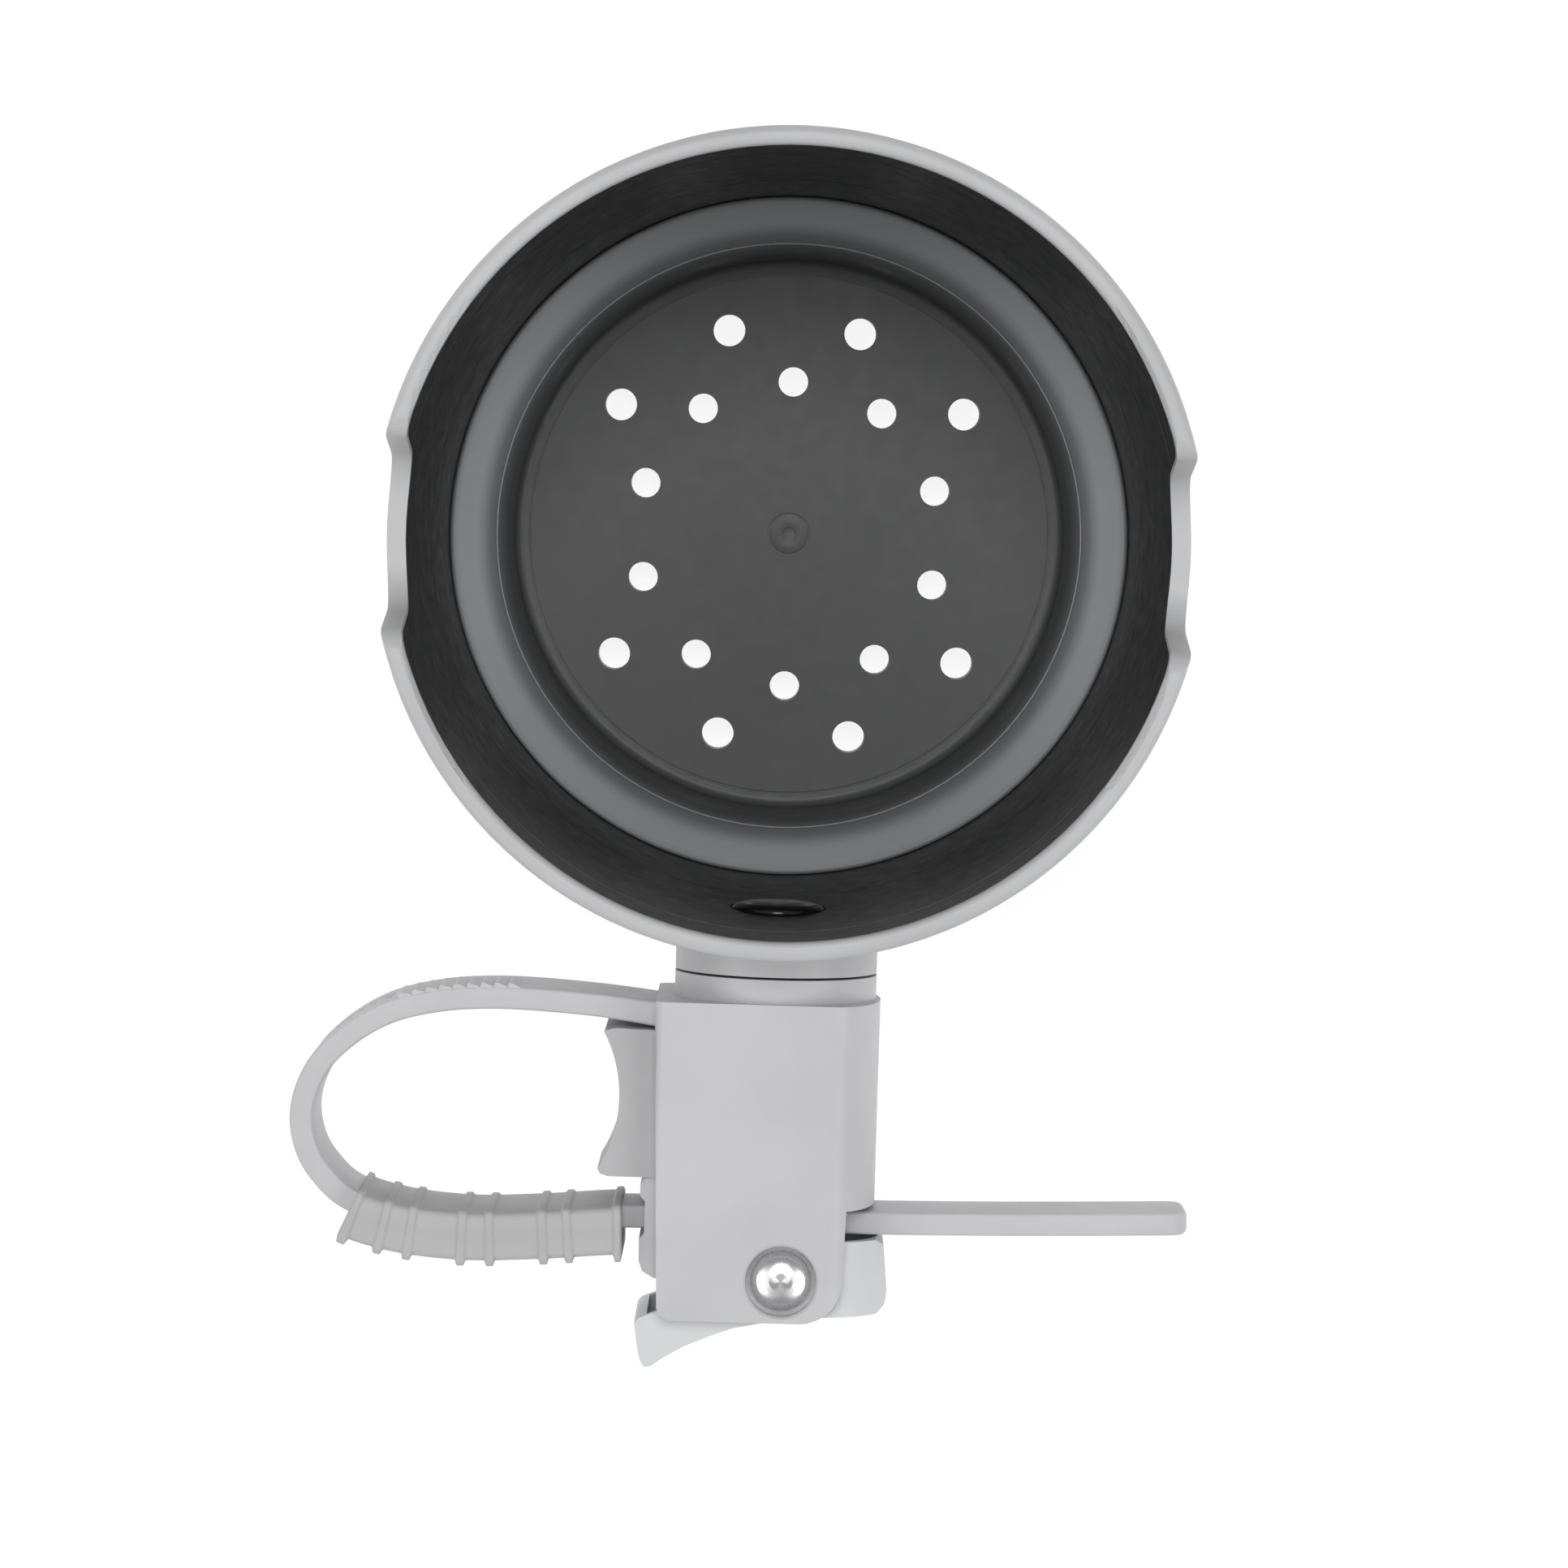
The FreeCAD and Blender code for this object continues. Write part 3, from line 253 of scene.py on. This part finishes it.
look = {
    "cup_shell": (GREY, 0.35), "cup_liner": (LINER, 0.12), "cup_well": (WELL, 0.15), "screw_cap": (CAP, 0), "flat_washer": (STEEL, 0),
    "swivel_bush": (BUSH, 0), "clamp_housing": (HOUSING, 0.7), "grip_pad": (PAD, 0.7), "pivot_screw": (STEEL, 0),
    "spring_washer": (SPRING, 0), "pivot_nut": (STEEL, 0), "detent_ball_left": (SPRING, 0), "detent_ball_right": (SPRING, 0),
    "detent_spring_left": (SPRING, 0), "detent_spring_right": (SPRING, 0), "lever_pin": (CHROME, 0),
    "pin_retainer": (SPRING, 0), "torsion_spring": (SPRING, 0), "strap_loop": (STRAP, 0), "strap_tongue": (STRAP, 0),
    "grip_sleeve": (SLEEVE, 0), "release_lever": (LEVER, 0.5),
}
for name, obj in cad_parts.items():
    mat, edge = look[name]
    obj.data.materials.clear()
    obj.data.materials.append(mat)
    for attr in ("custom_normal",):
        a = obj.data.attributes.get(attr)
        if a is not None:
            obj.data.attributes.remove(a)
    for p in obj.data.polygons:
        p.use_smooth = True
    weld = obj.modifiers.new("Weld", "WELD")
    weld.merge_threshold = 2e-6
    if edge:
        bev = obj.modifiers.new("Soft", "BEVEL")
        bev.width = edge * MM
        bev.segments = 3
        bev.limit_method = "ANGLE"
        bev.angle_limit = math.radians(38)
        bev.use_clamp_overlap = True
        bev.harden_normals = False
        even = obj.modifiers.new("Even", "WEIGHTED_NORMAL")
        even.weight = 50
        even.keep_sharp = True
    obj.data.set_sharp_from_angle(angle=math.radians(40))


# ------------------------------------------------------------------ swept pieces
def spline(points, step):
    """Natural smooth line through the points, sampled about every step."""
    out = []
    n = len(points)
    P = [Vector(p) for p in points]
    for i in range(n - 1):
        p0, p1, p2, p3 = P[max(i - 1, 0)], P[i], P[i + 1], P[min(i + 2, n - 1)]
        d01, d12, d23 = [max((b - a).length, 1e-9) ** 0.5 for a, b in ((p0, p1), (p1, p2), (p2, p3))]
        m1 = (p2 - p1) if i == 0 else (p1 - p0) / d01 - (p2 - p0) / (d01 + d12) + (p2 - p1) / d12
        m2 = (p2 - p1) if i == n - 2 else (p2 - p1) / d12 - (p3 - p1) / (d12 + d23) + (p3 - p2) / d23
        if i != 0:
            m1 = m1 * d12
        if i != n - 2:
            m2 = m2 * d12
        k = max(int((p2 - p1).length / step), 1)
        for j in range(k):
            t = j / k
            out.append((2 * t**3 - 3 * t**2 + 1) * p1 + (t**3 - 2 * t**2 + t) * m1 + (-2 * t**3 + 3 * t**2) * p2 + (t**3 - t**2) * m2)
    out.append(P[-1])
    return out


CENTRE = [(-13.0, -56.9), (-16.9, -56.45), (-20.9, -56.05), (-28.7, -55.55), (-34.5, -55.5), (-40.3, -56.05), (-46.1, -57.6),
          (-50.4, -60.1), (-54.1, -63.7), (-55.9, -67.4), (-56.35, -71.1), (-55.35, -74.9), (-53.45, -77.65),
          (-50.8, -79.95), (-45.5, -81.75), (-36.9, -82.7), (-27.9, -82.35), (-19.0, -81.6), (-15.3, -81.5), (-8.0, -81.5),
          (0.0, -81.5), (14.7, -81.45), (29.2, -81.15), (45.0, -80.65), (50.3, -80.45)]
LINE = spline([(x, y, 0) for x, y in CENTRE], 0.25)
RUN = [0.0]
for a, b in zip(LINE, LINE[1:]):
    RUN.append(RUN[-1] + (b - a).length)
TOTAL = RUN[-1]
MID = 57.0


def at(s):
    s = min(max(s, 0.0), TOTAL)
    lo, hi = 0, len(RUN) - 2
    while lo < hi:
        m = (lo + hi + 1) // 2
        if RUN[m] <= s:
            lo = m
        else:
            hi = m - 1
    u = (s - RUN[lo]) / max(RUN[lo + 1] - RUN[lo], 1e-9)
    p = LINE[lo].lerp(LINE[lo + 1], u)
    a, b = LINE[max(lo - 3, 0)], LINE[min(lo + 4, len(LINE) - 1)]
    d = (b - a).normalized()
    return p, Vector((d.y, -d.x, 0))


def s_at_x(x, after):
    for i in range(len(RUN) - 1):
        if RUN[i] >= after and (LINE[i].x - x) * (LINE[i + 1].x - x) <= 0:
            return RUN[i]


S_TURN = s_at_x(-50.0, next(r for r, p in zip(RUN, LINE) if p.y < -72.0))


def rounded(lo_n, hi_n, lo_z, hi_z, rad, seg=4):
    """Rounded rectangle section, as (offset along the normal, z)."""
    pts = []
    rad = min(rad, (hi_n - lo_n) / 2.001, (hi_z - lo_z) / 2.001)
    for cn, cz, a0 in ((hi_n - rad, hi_z - rad, 0), (lo_n + rad, hi_z - rad, 90), (lo_n + rad, lo_z + rad, 180), (hi_n - rad, lo_z + rad, 270)):
        for k in range(seg + 1):
            a = math.radians(a0 + 90.0 * k / seg)
            pts.append((cn + rad * math.cos(a), cz + rad * math.sin(a)))
    return pts


def sweep(bm, stations):
    """stations: list of (s, section). Quads between sections, closed ends."""
    rings = []
    for s, sec in stations:
        p, nrm = at(s)
        rings.append([bm.verts.new(((p + nrm * n).x * MM, (p + nrm * n).y * MM, z * MM)) for n, z in sec])
    for a, b in zip(rings, rings[1:]):
        for i in range(len(a)):
            j = (i + 1) % len(a)
            bm.faces.new((a[i], a[j], b[j], b[i]))
    bm.faces.new(rings[0][::-1])
    bm.faces.new(rings[-1])


def piece(name, bm, mat, smooth=40):
    bmesh.ops.recalc_face_normals(bm, faces=bm.faces)
    me = bpy.data.meshes.new(name)
    bm.to_mesh(me)
    bm.free()
    for p in me.polygons:
        p.use_smooth = True
    me.set_sharp_from_angle(angle=math.radians(smooth))
    o = bpy.data.objects.new(name, me)
    scene.collection.objects.link(o)
    me.materials.append(mat)
    return o


# strap: one band from its root through the loop and the housing to the free tip, with a
# shallow channel down its outer face that holds the ladder of teeth
bm = bmesh.new()
HALF, DEEP, TRACK = 1.375, 0.45, 4.1
PITCH = 1.6
s_teeth0, s_teeth1 = s_at_x(-30.6, 0.0), s_at_x(-45.2, 0.0)
s_narrow = s_at_x(-20.6, S_TURN)


def band(inner, outer, w, rad, deep):
    pts = rounded(-inner, outer, MID - w, MID + w, rad, 5)
    t = min(TRACK, w - rad - 0.3)
    pts += [(outer, MID - t - 0.12), (outer - deep, MID - t), (outer - deep, MID + t), (outer, MID + t + 0.12)]
    return pts


def ease(v):
    v = min(max(v, 0.0), 1.0)
    return v * v * (3 - 2 * v)


stations = []
s = 0.0
while s < TOTAL - 0.01:
    stations.append(s)
    s += 0.5 if s < TOTAL - 9 else 0.16
stations.append(TOTAL)
secs = []
for s in stations:
    w = 7.5 - 1.5 * ease((s - s_narrow + 0.6) / 1.2)
    end = TOTAL - s
    inner = HALF + 0.275 * max(0.0, 1 - s / 8.0)
    deep = 0.0 if s < s_teeth1 + 0.2 else DEEP * ease((s - s_teeth1 - 0.2) / 0.5)
    deep = min(deep, DEEP * ease((end - 6.6) / 0.5))
    thin_in = thin_out = 0.0
    if end < 2.6:
        w -= 2.6 * (1 - math.sqrt(max(1 - ((2.6 - end) / 2.62) ** 2, 0.0)))
    if end < 0.9:
        k = 1 - math.sqrt(max(1 - ((0.9 - end) / 0.92) ** 2, 0.0))
        thin_in, thin_out = 0.45 * k, 0.75 * k
    secs.append((s, band(inner - thin_in, HALF - thin_out, w, 0.42, max(deep, 0.0004))))
sweep(bm, secs)


def tooth(s0, pitch, z0, z1, root, height):
    """One wedge: a gentle flank, a narrow flat top and a steep flank, its ends drawn in a little."""
    prof = ((-0.02, -0.35), (0.05, 0.02), (0.60, height * 0.93), (0.68, height), (0.80, height), (0.86, height * 0.9), (0.96, 0.02), (1.0, -0.35))
    rows = []
    for f, h in prof:
        p, nrm = at(s0 + f * pitch)
        inset = 0.18 * max(h, 0) / height
        q = p + nrm * (root + h)
        rows.append([bm.verts.new((q.x * MM, q.y * MM, z * MM)) for z in (z0 + inset, z1 - inset)])
    for a, b in zip(rows, rows[1:]):
        bm.faces.new((a[0], a[1], b[1], b[0]))
    bm.faces.new([r[0] for r in rows][::-1])
    bm.faces.new([r[1] for r in rows])
    bm.faces.new((rows[0][0], rows[-1][0], rows[-1][1], rows[0][1]))


s = s_teeth0
while s < TOTAL - 8.6:
    if s + PITCH < s_teeth1 + 0.4:
        tooth(s, PITCH, MID - 3.0, MID + 7.42, HALF, 0.38)
    elif s > s_teeth1 + 0.6:
        tooth(s, PITCH, MID - TRACK + 0.02, MID + TRACK - 0.02, HALF - DEEP, DEEP - 0.06)
    s += PITCH
strap = piece("strap_band", bm, STRAP)
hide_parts("strap_loop", "strap_tongue")
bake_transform(strap)

# grip sleeve: soft ribbed tube on the lower strand
bm = bmesh.new()
S0 = S_TURN + 0.42
S1 = s_at_x(-17.6, S_TURN)
ribs = [S0 + 0.5] + [s_at_x(x, S_TURN) for x in (-45.5, -42.5, -36.5, -33.4, -27.1, -23.9)] + [S1 - 0.5]
stations = []
s = S0
while s < S1:
    stations.append(s)
    s += 0.14
stations.append(S1)
secs = []
for s in stations:
    which = min(range(len(ribs)), key=lambda i: abs(s - ribs[i]))
    near = abs(s - ribs[which])
    lift = 0.0
    if near < 0.62:
        lift = (0.82 if which in (0, len(ribs) - 1) else 0.66) * ease((0.62 - near) / 0.26)
    edge = min(s - S0, S1 - s)
    pull = 0.28 * (1 - math.sqrt(max(0.0, 1 - (1 - min(edge / 0.28, 1.0)) ** 2)))
    lo, hi = -1.5 - lift * 0.4 + pull, 4.25 + lift - pull
    z0, z1 = MID - 9.5 - lift * 0.4 + pull, MID + 9.5 + lift * 0.4 - pull
    ring = rounded(lo, hi, z0, z1, 0.85, 6)
    seam = 1.42                                     # moulding line down the middle of both flat faces
    front_at = 7                                    # after the first corner's seven points
    ring[front_at:front_at] = [(seam + 0.16, z1), (seam + 0.05, z1 + 0.07), (seam - 0.05, z1 + 0.07), (seam - 0.16, z1)]
    back_at = 7 + 4 + 14
    ring[back_at:back_at] = [(seam - 0.16, z0), (seam - 0.05, z0 - 0.07), (seam + 0.05, z0 - 0.07), (seam + 0.16, z0)]
    secs.append((s, ring))
sweep(bm, secs)
sleeve = piece("grip_sleeve_ribbed", bm, SLEEVE, 60)
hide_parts("grip_sleeve")
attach(sleeve, "strap")

# ------------------------------------------------------------------ floor and light
me = bpy.data.meshes.new("Floor")
r = 6.0
me.from_pydata([(-r, -r, 0), (r, -r, 0), (r, r, 0), (-r, r, 0)], [], [(0, 1, 2, 3)])
floor = bpy.data.objects.new("Floor", me)
floor.location = (0, 0, -0.0002)
scene.collection.objects.link(floor)
fm, nt, b = tree("floor_white")
b.inputs["Base Color"].default_value = (0.20, 0.20, 0.20, 1)
b.inputs["Roughness"].default_value = 0.9
b.inputs["Specular IOR Level"].default_value = 0.1
b.inputs["Emission Color"].default_value = (1, 1, 1, 1)
b.inputs["Emission Strength"].default_value = 0.86
me.materials.append(fm)


def area(name, loc, target, size, power):
    d = bpy.data.lights.new(name, "AREA")
    d.shape = "DISK"
    d.size = size
    d.energy = power
    o = bpy.data.objects.new(name, d)
    o.location = loc
    o.rotation_mode = "QUATERNION"
    o.rotation_quaternion = (Vector(target) - Vector(loc)).to_track_quat("-Z", "Y")
    scene.collection.objects.link(o)
    return o


area("Left", (-1.0, -0.35, 1.0), (0, -0.02, 0.03), 1.1, 7.4)
area("Right", (1.0, -0.35, 1.0), (0, -0.02, 0.03), 1.1, 7.4)
area("Top", (0.0, 0.42, 1.6), (0, -0.02, 0.03), 0.6, 8.0)
world = bpy.data.worlds.new("World")
scene.world = world
world.use_nodes = True
bg = world.node_tree.nodes.get("Background") or world.node_tree.nodes.new("ShaderNodeBackground")
bg.inputs["Color"].default_value = (1, 1, 1, 1)
bg.inputs["Strength"].default_value = 0.29
wo = world.node_tree.nodes.get("World Output") or world.node_tree.nodes.new("ShaderNodeOutputWorld")
world.node_tree.links.new(bg.outputs[0], wo.inputs[0])
